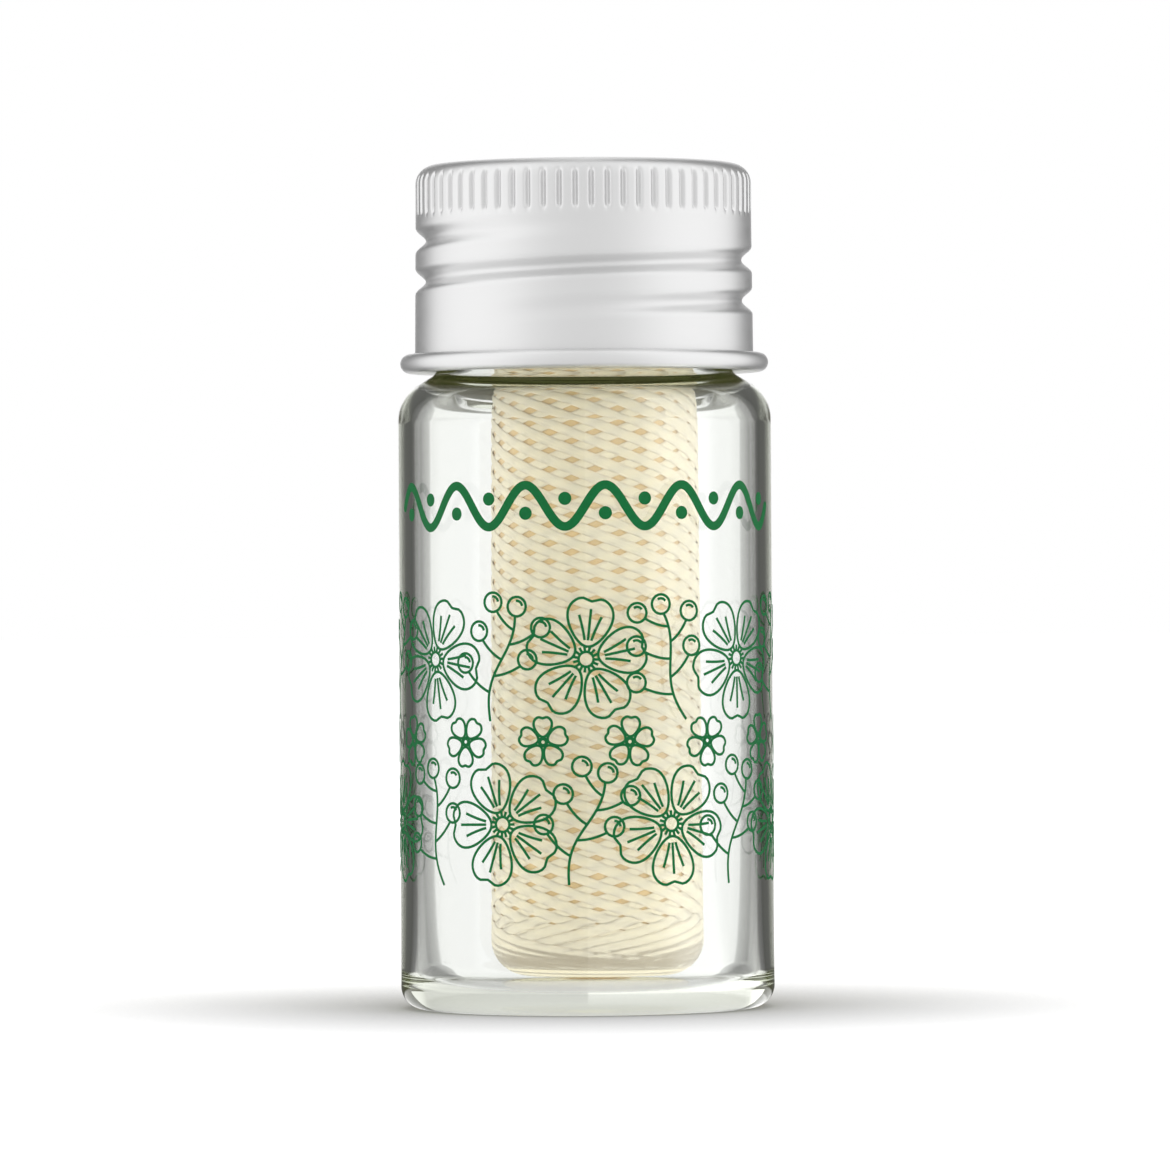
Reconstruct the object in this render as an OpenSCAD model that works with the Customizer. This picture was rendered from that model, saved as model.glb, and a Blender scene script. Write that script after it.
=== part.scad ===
// Refillable dental floss dispenser, in millimetres.
// A screw-necked glass jar holds a cross-wound package of floss. A pressed steel insert in its
// mouth has the floss hole and a punched cutter. An aluminium screw cap with a foam liner closes it.
// Origin at the centre of the foot, +Z up, the front faces -Y.

/* [Jar] */
// Outside diameter of the jar's body
jar_d = 26.6; // [25.6:0.1:32]
// Glass thickness of the body
jar_wall = 1.1; // [0.8:0.1:1.5]
// Height from the foot to where the shoulder's rounding goes over into its slope
body_h = 44.4; // [34:0.1:60]
// Rounding between the body and the slope of the shoulder
shoulder_r = 3; // [2.4:0.1:3.4]
// Slope of the shoulder, from level
shoulder_slope = 30; // [20:1:35]
// Radius of the heel, between the foot and the body
heel_r = 1.6; // [0.8:0.1:2.4]
// Width of the ring that the jar stands on
foot_w = 1.4; // [0.8:0.1:3]
// Rise of the hollow under the base
push_up = 1.1; // [0.6:0.1:1.8]
// Glass thickness of the base at its centre
base_wall = 1; // [0.8:0.1:2]
// Glass thickness of the base at the heel
heel_wall = 1.1; // [0.8:0.1:1.6]
// Inside corner radius at the floor
inside_r = 1.2; // [0.8:0.1:1.3]
// Inside rounding between the body and the slope of the shoulder
shoulder_in_r = 2.4; // [2:0.1:2.6]
// Slope of the shoulder inside, from level
shoulder_in_slope = 15; // [10:1:18]
// How far the inside rounding ends below the outside one
shoulder_drop = 0.55; // [0.45:0.05:0.8]

/* [Neck] */
// How far the neck steps in from the body's outside, on each side
neck_step = 2.8; // [2.4:0.1:3.2]
// Glass thickness of the neck
neck_wall = 1.1; // [1:0.1:1.6]
// Height of the rim above the start of the shoulder's slope
neck_h = 13.9; // [11:0.1:18]
// Fillet between the neck and the shoulder
neck_fillet = 0.8; // [0.4:0.1:1.2]
// Rounding of the two edges of the rim
lip_r = 0.45; // [0.3:0.05:0.45]
// Rounding where the bore of the neck opens into the body
throat_r = 1.1; // [0.5:0.1:1.2]

/* [Cap] */
// Thickness of the aluminium sheet
cap_sheet = 0.3; // [0.2:0.02:0.4]
// Gap between the neck and the rolled-in thread
thread_gap = 0.4; // [0.3:0.05:0.7]
// Depth of the rolled thread
thread_depth = 0.75; // [0.5:0.05:0.9]
// Height of the rolled thread
thread_w = 1.9; // [1.4:0.1:2.3]
// Rise of the thread in one turn
thread_pitch = 2.9; // [2.4:0.1:3.4]
// Distance from the knurl down to the thread's upper groove
thread_drop = 2.6; // [2:0.1:3]
// How much wider the skirt is at the hem than at the knurl
skirt_flare = 0.1; // [0:0.05:0.3]
// Rounding of the cap's top edge
cap_edge_r = 1.4; // [0.8:0.1:1.8]
// Distance from the top of the cap to the knurl
knurl_drop = 0.8; // [0.6:0.1:1.4]
// Height of the knurl
knurl_h = 2.75; // [1.8:0.05:3.4]
// Depth of the knurl's flutes
flute_depth = 0.22; // [0.12:0.02:0.28]
// Radius of a flute
flute_r = 0.25; // [0.22:0.01:0.32]
// Number of flutes round the knurl
flutes = 66; // [48:1:72]
// Radius of the curled hem
hem_r = 0.675; // [0.5:0.025:0.8]
// Slit left between the curled edge and the skirt
hem_slit = 0.1; // [0.06:0.02:0.2]
// Gap between the hem and the jar's shoulder
hem_gap = 0.8; // [0.5:0.1:1.5]
// Thickness of the foam liner
liner_t = 1; // [0.6:0.1:1.6]
// Gap round the liner
liner_gap = 0.1; // [0.05:0.05:0.4]

/* [Insert] */
// Thickness of the steel sheet
insert_sheet = 0.4; // [0.3:0.05:0.5]
// Gap between the insert and the bore of the neck
insert_fit = 0.05; // [0.03:0.01:0.1]
// Depth of the deck below the rim
well_depth = 3.6; // [3:0.1:4.2]
// Corner radius between the wall and the deck
well_r = 0.6; // [0.3:0.1:0.8]
// Diameter of the floss hole
hole_d = 3; // [2.4:0.1:3.4]
// Height of the lip round the floss hole
hole_lip = 0.6; // [0.4:0.1:0.8]
// Length of the punched cutter
cutter_l = 3; // [2.4:0.1:3.3]
// Width of the punched cutter
cutter_w = 4; // [3:0.1:4.6]
// Angle between the cutter and the deck
cutter_rise = 40; // [30:1:45]
// Distance from the well's corner to the root of the cutter
cutter_inset = 2.15; // [1.8:0.05:2.3]
// Gap beside and in front of the cutter in the deck
cutter_slot = 0.2; // [0.1:0.05:0.3]
// Width of the notch in the cutter's edge
notch_w = 1.8; // [1.4:0.1:2.2]
// Length of the notch in the cutter's edge
notch_l = 1.6; // [1.2:0.1:2]

/* [Floss] */
// Gap between the package and the bore that it passes through
pack_clear = 1.8; // [1.5:0.1:2.2]
// How far the package stands to the right of the jar's axis
pack_x = 0.7; // [0:0.1:1.4]
// Gap between the package and the floor
pack_seat = 0.2; // [0.1:0.05:0.4]
// Space between the package and the insert
pack_headroom = 5.7; // [4.5:0.1:8]
// How much slimmer the package is at its top than at its foot
pack_taper = 0.25; // [0:0.05:0.4]
// Diameter of the hole along the package
pack_bore = 4.8; // [4:0.1:5.2]
// Rounding of the package's lower edge
pack_low_r = 2.6; // [1.6:0.1:3]
// Rounding of the package's upper edge
pack_high_r = 1.6; // [1:0.1:2]
// Height of the plain band at each end of the package, past its rounding
pack_band = 0.4; // [0.2:0.1:0.8]
// Diameter of the floss as it is wound, drawn thicker than one strand
strand_d = 0.9; // [0.7:0.05:1]
// Gap between crossing strands, and between the strands and the core
strand_gap = 0.5; // [0.48:0.02:0.6]
// Diameter of the floss's free end
tail_d = 0.6; // [0.4:0.05:0.7]

/* [Hidden] */
// Radii and heights of the jar
jar_r = jar_d / 2;
inner_r = jar_r - jar_wall;
neck_r = jar_r - neck_step;
bore_r = neck_r - neck_wall;
floor_z = push_up + base_wall;
ceiling_z = body_h - shoulder_drop;
rim_z = body_h + neck_h;
// The throat's rounding leaves a straight slope before the inside rounding
slope_left = 0.1;
slope_share = 1 - sin(shoulder_in_slope);
throat_fit_r = min(throat_r, (inner_r - bore_r - slope_left) / slope_share - shoulder_in_r);

// Radii and heights of the insert
insert_r = bore_r - insert_fit;
well_in_r = insert_r - insert_sheet;
flange_r = neck_r - lip_r;
flange_bend_r = lip_r - insert_fit;
deck_z = rim_z - well_depth;
deck_under_z = deck_z - insert_sheet;
cutter_x = well_in_r - well_r - cutter_inset;

// Radii and heights of the cap
cap_r = neck_r + thread_gap + cap_sheet + thread_depth;
skirt_r = cap_r + skirt_flare;
liner_z = rim_z + insert_sheet;
cap_top_z = liner_z + liner_t + cap_sheet;
hem_z = body_h + hem_gap + hem_r;
hem_hollow_r = hem_r - cap_sheet;
knurl_top_z = cap_top_z - knurl_drop;
knurl_low_z = knurl_top_z - knurl_h;
liner_r = cap_r - cap_edge_r - liner_gap;
groove_zs = [knurl_low_z - thread_drop, knurl_low_z - thread_drop - thread_pitch];

// Radii and heights of the floss package
pack_r = bore_r - pack_clear;
pack_low_z = floor_z + pack_seat;
pack_top_z = deck_under_z - pack_headroom;
band_low_z = pack_low_z + pack_low_r + pack_band;
band_high_z = pack_top_z - pack_high_r - pack_band;
layer_step = strand_d + strand_gap;
waist_in = strand_d + layer_step + strand_gap;

// Winding: up in the inner layer, over in half a turn, and down in the outer layer
climb_turns = 11.5;
turn_over = 0.5;
wind_turns = 2 * climb_turns + turn_over;
rings_per_turn = 24;
strand_sides = 6;
// The strand leaves its band straight for one diameter, then bends into the winding
lead_bend_share = 1.2;
lead_bend_r = lead_bend_share * strand_d;
lead_steps = 4;
wind_low_z = band_low_z + strand_d + lead_bend_r;
hump_share = turn_over / 4 / climb_turns;
wind_limit_z = band_high_z - strand_gap - strand_d / 2;
wind_high_z = (wind_limit_z + hump_share * wind_low_z) / (1 + hump_share);
wind_rise = (wind_high_z - wind_low_z) / climb_turns;

// Route of the free end: out of the package's hole, up through the insert and over the cutter
cutter_tip_x = cutter_x - cutter_l * cos(cutter_rise);
tail_low_z = pack_top_z - 2.4;
tail_high_z = deck_z - 0.3;
tail_rise_steps = 6;
tail_spread = 1 + 2 * pack_x / pack_bore;
tail_route = [
    for (p = [[2.3, -5.6], [1.7, -5.6], [1, -5.3], [0.4, -4.6], [0.1, -3.6]])
        [p.x * tail_spread, 0, pack_top_z + p.y],
    for (i = [0:tail_rise_steps]) [0, 0, tail_low_z + (tail_high_z - tail_low_z) * i / tail_rise_steps],
    for (p = [[0.1, 0.6], [0.5, 1.3], [1.2, 1.7]]) [p.x, 0, deck_z + p.y],
    for (p = [[-1.7, 1.8], [-0.7, 1.8], [0.2, 1.8], [1.1, 2.2], [1.9, 2.7]])
        [cutter_tip_x + p.x, 0, deck_z + p.y]
];
tail_sides = 8;

// Overrun of cuts
over = 0.1;
$fn = 96;
arc_steps = 10;
groove_steps = 12;

function unit(v) = v / norm(v);

// Points of an arc about a centre, from one angle to another
function arc(centre, r, from, to, steps = arc_steps) =
    [for (i = [0:steps]) let (a = from + (to - from) * i / steps) centre + r * [cos(a), sin(a)]];

function reversed(points) = [for (i = [len(points) - 1:-1:0]) points[i]];

// Tube swept along a path, with one reference direction for each ring
module tube(path, refs, r, sides) {
    last = len(path) - 1;
    points = [
        for (i = [0:last])
            let (along = unit(path[min(i + 1, last)] - path[max(i - 1, 0)]))
            let (out = unit(refs[i] - along * (refs[i] * along)))
            let (side = cross(along, out))
            for (k = [0:sides - 1])
                path[i] + r * (out * cos(360 * k / sides) + side * sin(360 * k / sides))
    ];
    skin = [
        for (i = [0:last - 1])
            for (k = [0:sides - 1])
                let (a = i * sides + k, b = i * sides + (k + 1) % sides)
                each [[a, a + sides, b], [b, a + sides, b + sides]]
    ];
    near_end = [for (k = [1:sides - 2]) [0, k, k + 1]];
    far_end = [for (k = [1:sides - 2]) [last * sides, last * sides + k + 1, last * sides + k]];
    polyhedron(points, concat(skin, near_end, far_end));
}

// Glass jar

jar_foot_r = jar_r - heel_r;
hollow_r = jar_foot_r - foot_w;

// Half section of a dome, from its top at the axis out to its edge
function dome(edge_r, edge_z, rise) =
    [for (i = [0:arc_steps]) let (r = edge_r * i / arc_steps) [r, edge_z + rise * (1 - pow(r / edge_r, 2))]];

// Half section of the shoulder, from the body's side up its rounding and slope to the fillet at the neck
function shoulder(side_r, top_z, round_r, slope, throat, fillet_r) =
    let (slope_from = side_r - round_r * (1 - sin(slope)), slope_to = throat + fillet_r * (1 - sin(slope)))
    let (slope_top_z = top_z + (slope_from - slope_to) * tan(slope))
    concat(
        arc([side_r - round_r, top_z - round_r * cos(slope)], round_r, 0, 90 - slope),
        arc([throat + fillet_r, slope_top_z + fillet_r * cos(slope)], fillet_r, 270 - slope, 180)
    );

function jar_outside() = concat(
    dome(hollow_r, 0, push_up),
    arc([jar_foot_r, heel_r], heel_r, -90, 0),
    shoulder(jar_r, body_h, shoulder_r, shoulder_slope, neck_r, neck_fillet),
    arc([neck_r - lip_r, rim_z - lip_r], lip_r, 0, 90)
);

function jar_inside() = concat(
    arc([bore_r + lip_r, rim_z - lip_r], lip_r, 90, 180),
    reversed(shoulder(inner_r, ceiling_z, shoulder_in_r, shoulder_in_slope, bore_r, throat_fit_r)),
    arc([inner_r - inside_r, heel_wall + inside_r], inside_r, 0, -90),
    reversed(dome(inner_r - inside_r - over, heel_wall, floor_z - heel_wall))
);

module glass_jar()
    color("honeydew", 0.4)
    rotate_extrude()
    polygon(concat(jar_outside(), jar_inside()));

// Aluminium cap

// Radius of the shell's outside at a height, with the rolled thread's section as two grooves
function flare(z) = skirt_flare * (knurl_low_z - z) / (knurl_low_z - hem_z);
function groove(z, middle) =
    abs(z - middle) < thread_w / 2 ? thread_depth * pow(cos(180 * (z - middle) / thread_w), 2) : 0;
function shell_r(z) = cap_r + flare(z) - groove(z, groove_zs[0]) - groove(z, groove_zs[1]);

groove_points = [
    for (middle = groove_zs)
        for (i = [0:groove_steps])
            let (z = middle + thread_w / 2 - thread_w * i / groove_steps)
            [shell_r(z), z]
];

knurl_in_r = cap_r - flute_depth - cap_sheet;
hem_centre = [skirt_r + hem_hollow_r, hem_z];
hem_end = acos((hem_slit - hem_hollow_r) / hem_r);

function shell_outside() = concat(
    [[0, cap_top_z]],
    arc([cap_r - cap_edge_r, cap_top_z - cap_edge_r], cap_edge_r, 90, 0),
    [[cap_r, knurl_low_z - flute_depth]],
    groove_points,
    arc(hem_centre, hem_hollow_r, 180, 360 + hem_end, 3 * arc_steps)
);

// The inside follows the outside one sheet further in, and is pressed in behind the knurl
function shell_inside() = concat(
    arc(hem_centre, hem_r, 360 + hem_end, 180, 3 * arc_steps),
    [for (p = reversed(groove_points)) p - [cap_sheet, 0]],
    [[cap_r - cap_sheet, knurl_low_z - flute_depth], [knurl_in_r, knurl_low_z]],
    [[knurl_in_r, cap_top_z - cap_edge_r]],
    arc([cap_r - cap_edge_r, cap_top_z - cap_edge_r], cap_edge_r - flute_depth - cap_sheet, 0, 45),
    arc([cap_r - cap_edge_r, cap_top_z - cap_edge_r], cap_edge_r - cap_sheet, 60, 90),
    [[0, cap_top_z - cap_sheet]]
);

module flute_cut()
    translate([cap_r + flute_r - flute_depth, 0, knurl_low_z])
    cylinder(r = flute_r, h = knurl_h);

module cap_shell()
    color("gainsboro")
    difference() {
        rotate_extrude() polygon(concat(shell_outside(), shell_inside()));
        for (i = [0:flutes - 1]) rotate(360 * i / flutes) flute_cut();
    }

module cap_liner()
    color("white")
    translate([0, 0, liner_z])
    cylinder(r = liner_r, h = liner_t);

// Pressed insert

function insert_upper() = concat(
    [[flange_r, rim_z + insert_sheet]],
    arc([insert_r + flange_bend_r, rim_z - flange_bend_r], flange_bend_r + insert_sheet, 90, 180),
    arc([well_in_r - well_r, deck_z + well_r], well_r, 0, -90),
    [[hole_d / 2 + insert_sheet, deck_z], [hole_d / 2 + insert_sheet, deck_z + hole_lip]],
    [[hole_d / 2, deck_z + hole_lip]]
);

function insert_lower() = concat(
    [[hole_d / 2, deck_under_z]],
    arc([well_in_r - well_r, deck_z + well_r], well_r + insert_sheet, -90, 0),
    arc([insert_r + flange_bend_r, rim_z - flange_bend_r], flange_bend_r, 180, 90),
    [[flange_r, rim_z]]
);

// The cutter is a tongue of the deck, bent up towards the hole
cutter_mitre = insert_sheet * tan(cutter_rise / 2);

module cutter_window()
    translate([cutter_x - cutter_l - cutter_slot, -cutter_w / 2 - cutter_slot, deck_under_z - over])
    cube([cutter_l + cutter_slot, cutter_w + 2 * cutter_slot, insert_sheet + 2 * over]);

module cutter_tongue() {
    up = [-cos(cutter_rise), sin(cutter_rise)];
    face = [sin(cutter_rise), cos(cutter_rise)];
    root = [cutter_x, deck_under_z];
    rotate([90, 0, 0])
    linear_extrude(cutter_w, center = true)
    polygon([
        root + [insert_sheet, 0],
        root,
        root + cutter_l * up,
        root + cutter_l * up + insert_sheet * face,
        root + [cutter_mitre, insert_sheet],
        root + [insert_sheet, insert_sheet]
    ]);
}

module cutter_notch()
    translate([cutter_tip_x - over, 0, deck_z])
    linear_extrude(well_depth)
    polygon([[0, -notch_w / 2], [notch_l, 0], [0, notch_w / 2]]);

module dispenser_insert()
    color("silver") {
        difference() {
            rotate_extrude() polygon(concat(insert_upper(), insert_lower()));
            cutter_window();
        }
        difference() {
            cutter_tongue();
            cutter_notch();
        }
    }

// Floss package

function pack_r_at(z) = pack_r - pack_taper * (z - pack_low_z) / (pack_top_z - pack_low_z);

// Inner layers of the package, plain, with full-width bands at the ends and the hole along it
module floss_core() {
    low_r = pack_r_at(band_low_z);
    high_r = pack_r_at(band_high_z);
    color("wheat")
    translate([pack_x, 0, 0])
    rotate_extrude()
    polygon(concat(
        [[pack_bore / 2, pack_low_z]],
        arc([low_r - pack_low_r, pack_low_z + pack_low_r], pack_low_r, -90, 0),
        [[low_r, band_low_z], [low_r - waist_in, band_low_z]],
        [[high_r - waist_in, band_high_z], [high_r, band_high_z]],
        arc([high_r - pack_high_r, pack_top_z - pack_high_r], pack_high_r, 0, 90),
        [[pack_bore / 2, pack_top_z]]
    ));
}

// Centre line of the winding after a number of turns
function eased(x) = x * x * (3 - 2 * x);
function over_part(turns) = max(0, min(1, (turns - climb_turns) / turn_over));
function wind_z(turns) =
    let (back = turns - climb_turns - turn_over)
    let (x = turns - climb_turns)
    back > 0 ? wind_high_z - wind_rise * back
    : x > 0 ? wind_high_z + wind_rise * (x - x * x / turn_over)
    : wind_high_z + wind_rise * x;
function wind_r(turns) =
    pack_r_at(wind_z(turns)) - strand_d / 2 - layer_step * (1 - eased(over_part(turns)));
function on_cylinder(r, angle, z) = [r * cos(angle), r * sin(angle), z];

// Straight stretch and bend that join the winding to its lower band, listed from the band up
function lead(r, angle, turning) = [
    on_cylinder(r, angle - turning * bend_angle(r), band_low_z),
    for (i = [0:lead_steps - 1])
        let (a = 90 * i / lead_steps)
        on_cylinder(
            r,
            angle - turning * bend_angle(r) * cos(a),
            band_low_z + strand_d + lead_bend_r * sin(a)
        )
];
function bend_angle(r) = lead_bend_r / r * 180 / PI;

wind_path = concat(
    lead(wind_r(0), 0, 1),
    [
        for (i = [0:wind_turns * rings_per_turn])
            let (turns = i / rings_per_turn)
            on_cylinder(wind_r(turns), 360 * turns, wind_z(turns))
    ],
    reversed(lead(wind_r(wind_turns), 360 * wind_turns, -1))
);

// Smallest gap between stretches that lie half a turn or more apart along the strand
function least_gap(path, d) = min([
    for (i = [0:len(path) - 1])
        for (j = [i + rings_per_turn / 2:1:len(path) - 1])
            norm(path[i] - path[j])
]) - d;

module floss_winding() {
    echo(least_gap_of_the_winding = least_gap(wind_path, strand_d));
    color("ivory")
    translate([pack_x, 0, 0])
    tube(wind_path, [for (p = wind_path) [p.x, p.y, 0]], strand_d / 2, strand_sides);
}

module floss_tail()
    color("ivory")
    tube(tail_route, [for (p = tail_route) [0, 1, 0]], tail_d / 2, tail_sides);

glass_jar();
cap_shell();
cap_liner();
dispenser_insert();
floss_core();
floss_winding();
floss_tail();
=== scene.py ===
import math
import random

import bmesh
import bpy
import numpy as np
from bpy.props import FloatProperty, FloatVectorProperty, IntProperty, PointerProperty
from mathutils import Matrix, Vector, noise


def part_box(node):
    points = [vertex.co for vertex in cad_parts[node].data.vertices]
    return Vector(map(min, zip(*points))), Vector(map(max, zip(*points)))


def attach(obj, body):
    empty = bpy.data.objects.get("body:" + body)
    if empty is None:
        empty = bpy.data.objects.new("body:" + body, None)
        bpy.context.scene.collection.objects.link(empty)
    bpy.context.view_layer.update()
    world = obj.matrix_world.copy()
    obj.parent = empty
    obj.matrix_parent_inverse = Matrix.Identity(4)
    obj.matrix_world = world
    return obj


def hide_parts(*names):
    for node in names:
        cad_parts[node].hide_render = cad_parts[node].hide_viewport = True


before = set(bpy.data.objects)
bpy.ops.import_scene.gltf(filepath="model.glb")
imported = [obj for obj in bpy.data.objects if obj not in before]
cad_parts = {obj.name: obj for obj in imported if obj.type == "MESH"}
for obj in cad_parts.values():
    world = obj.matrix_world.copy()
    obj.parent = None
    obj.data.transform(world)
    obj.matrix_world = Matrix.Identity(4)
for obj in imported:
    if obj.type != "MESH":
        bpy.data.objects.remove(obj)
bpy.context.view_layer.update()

bl_info = {
    "name": "Floss Jar",
    "version": (1, 0, 0),
    "blender": (4, 5, 0),
    "location": "3D View > Sidebar > Floss Jar",
    "description": "Builds the looks of a refillable floss jar round its packed frame",
    "category": "Object",
}

MM = 0.001
TURN = 2 * math.pi
JAR_LOW, JAR_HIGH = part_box("glass_jar")
CAP_LOW, CAP_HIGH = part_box("cap_shell")
LINER_LOW, LINER_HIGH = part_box("cap_liner")
INSERT_LOW, INSERT_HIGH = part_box("dispenser_insert")
CORE_LOW, CORE_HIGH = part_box("floss_core")
PACK_X = (CORE_LOW.x + CORE_HIGH.x) / 2
PACK_R = (CORE_HIGH.x - CORE_LOW.x) / 2


# Sizes and colours

def length(name, description, millimetres):
    return FloatProperty(
        name=name, description=description, default=millimetres * MM, unit="LENGTH", precision=5
    )


def turn(name, description, degrees):
    return FloatProperty(name=name, description=description, default=math.radians(degrees), unit="ROTATION")


def number(name, description, value):
    return FloatProperty(name=name, description=description, default=value)


def count(name, description, value):
    return IntProperty(name=name, description=description, default=value)


def to_linear(code):
    """Linear RGB of an sRGB hex value."""
    parts = [int(code[i:i + 2], 16) / 255 for i in (1, 3, 5)]
    return tuple(c / 12.92 if c <= 0.04045 else ((c + 0.055) / 1.055) ** 2.4 for c in parts)


def colour(name, description, code):
    return FloatVectorProperty(
        name=name, description=description, default=to_linear(code), subtype="COLOR", size=3, min=0, max=1
    )


class JarSettings(bpy.types.PropertyGroup):
    wall: length("Wall", "Glass thickness of the body", 1.1)
    neck_step: length("Neck step", "How far the neck steps in from the body", 2.8)
    neck_wall: length("Neck wall", "Glass thickness of the neck", 1.1)
    neck_height: length("Neck height", "Height of the rim above the start of the shoulder's slope", 13.9)
    neck_fillet: length("Neck fillet", "Fillet between the neck and the shoulder", 0.8)
    shoulder: length("Shoulder", "Rounding between the body and the slope of the shoulder", 3.0)
    shoulder_slope: turn("Shoulder slope", "Slope of the shoulder, from level", 30)
    shoulder_inside: length("Shoulder inside", "Rounding of the shoulder's inside", 2.4)
    inside_slope: turn("Inside slope", "Slope of the shoulder inside, from level", 15)
    shoulder_drop: length("Shoulder drop", "How far the inside rounding ends below the outside one", 0.55)
    heel: length("Heel", "Radius between the foot and the body", 1.6)
    foot: length("Foot", "Width of the ring that the jar stands on", 1.4)
    push_up: length("Push-up", "Rise of the hollow under the base", 1.1)
    base_wall: length("Base", "Glass thickness of the base at its centre", 1.0)
    heel_wall: length("Heel wall", "Glass thickness of the base at the heel", 1.0)
    inside_radius: length("Inside corner", "Corner radius inside the body", 1.8)
    lip: length("Lip", "Rounding of the rim", 0.45)
    throat: length("Throat", "Rounding where the bore opens into the body", 1.1)
    bead: length("Bead", "How far the moulded thread stands out from the neck", 0.85)
    bead_width: length("Bead width", "Width of the moulded thread", 1.6)
    bead_turns: number("Bead turns", "Turns of the moulded thread", 1.5)
    glass: colour("Glass", "Tint of the glass", "#FBFBFE")
    glass_depth: colour("Glass in depth", "Colour that thick glass turns to", "#C1D552")
    trapped: colour("Trapped light", "Light that the glass holds for many bounces", "#595740")


class CapSettings(bpy.types.PropertyGroup):
    sheet: length("Sheet", "Thickness of the aluminium sheet", 0.3)
    radius: length("Radius", "Outside radius at the knurl", 11.95)
    edge: length("Edge", "Rounding of the top edge", 1.4)
    knurl_drop: length("Knurl drop", "Distance from the top to the knurl", 0.8)
    knurl_height: length("Knurl height", "Height of the knurl", 2.75)
    flute: length("Flute", "Depth of a flute", 0.27)
    flutes: count("Flutes", "Number of flutes round the knurl", 66)
    thread_depth: length("Thread depth", "Depth of the rolled thread", 0.75)
    thread_width: length("Thread width", "Height of the rolled thread's section", 1.9)
    thread_pitch: length("Thread pitch", "Rise of the thread in one turn", 2.9)
    thread_low: length("Thread start", "Height of the thread where it passes +X first", 50.25)
    thread_from: turn("Thread from", "Where the rolled thread fades in, counted from +X", 232)
    thread_to: turn("Thread to", "Where the rolled thread has faded out", 1000)
    thread_fade: turn("Thread fade", "Turn over which the thread fades in or out", 95)
    flare: length("Flare", "How much wider the skirt is at the hem", 0.1)
    hem: length("Hem", "Radius of the curled hem", 0.675)
    slit: length("Slit", "Slit between the curled edge and the skirt", 0.1)
    aluminium: colour("Aluminium", "Satin aluminium", "#E2E2E2")
    foam: colour("Foam", "Foam liner", "#F1F1EC")
    steel: colour("Steel", "Pressed steel of the insert", "#C9C8C4")


class FlossSettings(bpy.types.PropertyGroup):
    taper: length("Taper", "How much slimmer the package is at its top", 0.25)
    low_radius: length("Lower rounding", "Rounding of the package's lower edge", 2.6)
    high_radius: length("Upper rounding", "Rounding of the package's upper edge", 1.6)
    bore: length("Bore", "Diameter of the package's hole", 4.8)
    strand_width: length("Strand width", "Width of the wound strand, pressed flat", 0.76)
    strand_thickness: length("Strand thickness", "Thickness of the wound strand", 0.1)
    low_turn: length("Lower turn", "Height over the package's foot where the strand turns back", 0.9)
    high_turn: length("Upper turn", "Distance under the package's top where the strand turns back", 0.6)
    coil_spacing: length("Coil spacing", "Distance between the loops over the package's ends", 0.6)
    inner_inset: length("Inner inset", "Depth of the inner layers under the package's outline", 0.16)
    starts: count("Strands", "Strands side by side in each direction", 14)
    yarn: colour("Yarn", "Waxed floss", "#F4E3C2")
    # Darker and warmer than the yarn: the same floss, with the shade in the gaps of the winding painted in
    inner_yarn_painted_shade: colour("Inner yarn", "Waxed floss in the layers below", "#E0C491")
    tail: length("Free end", "Diameter of the free end", 0.6)
    ply_pitch: length("Ply pitch", "Length in which the free end's plies turn once", 2.2)
    insert_sheet: length("Insert sheet", "Thickness of the insert under the free end", 0.4)
    cutter_tip: length("Cutter tip", "Distance of the cutter's edge from the axis", 3.9)


class PrintSettings(bpy.types.PropertyGroup):
    reach: turn("Reach", "How far the print goes round to each side of the front", 105)
    line: length("Line", "Width of a drawn line", 0.19)
    stroke: length("Stroke", "Width of the wave's stroke", 0.62)
    film: length("Film", "Thickness of the ink", 0.02)
    wave_z: length("Wave height", "Height of the middle of the wave", 35.6)
    flower_low: length("Lower flowers", "Height of the lower row of flowers", 13.4)
    flower_high: length("Upper flowers", "Height of the upper row of flowers", 24.9)
    ink: colour("Ink", "Green screen ink", "#005529")


class StageSettings(bpy.types.PropertyGroup):
    distance: length("Camera distance", "From the camera to the jar's axis", 562.9)
    height: length("Camera height", "Height of the level camera", 30.07)
    view_width: length("View width", "Width of the view at the jar's axis", 83.36)
    shift: length("Camera place", "Camera's place to the right of the jar's axis", -0.04)
    roll: turn("Roll", "Turn of the camera about its own axis", 0.35)
    floor_reach: length("Floor", "Reach of the floor to each side", 4000)
    lamp_size: length("Lamps", "Width of each soft lamp", 800)
    key_power: number("Key", "Power of the lamp to the right, in watts", 3.2)
    fill_power: number("Fill", "Power of the lamp to the left, in watts", 2.0)
    contact: length("Contact shadow", "Distance over which the object shades the floor", 30)
    white_from: length("White from", "Distance where the floor starts to turn white", 20)
    white_at: length("White at", "Distance where the floor has turned white", 60)
    edge_aside: number("Edge aside", "Shift of the white's edge on the floor, in jar radii", 0.6)
    floor_light: number("Floor light", "Brightness with which the floor lights the object", 1.7)


def settings(name):
    return getattr(bpy.context.scene, "floss_" + name)


# Meshes

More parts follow.
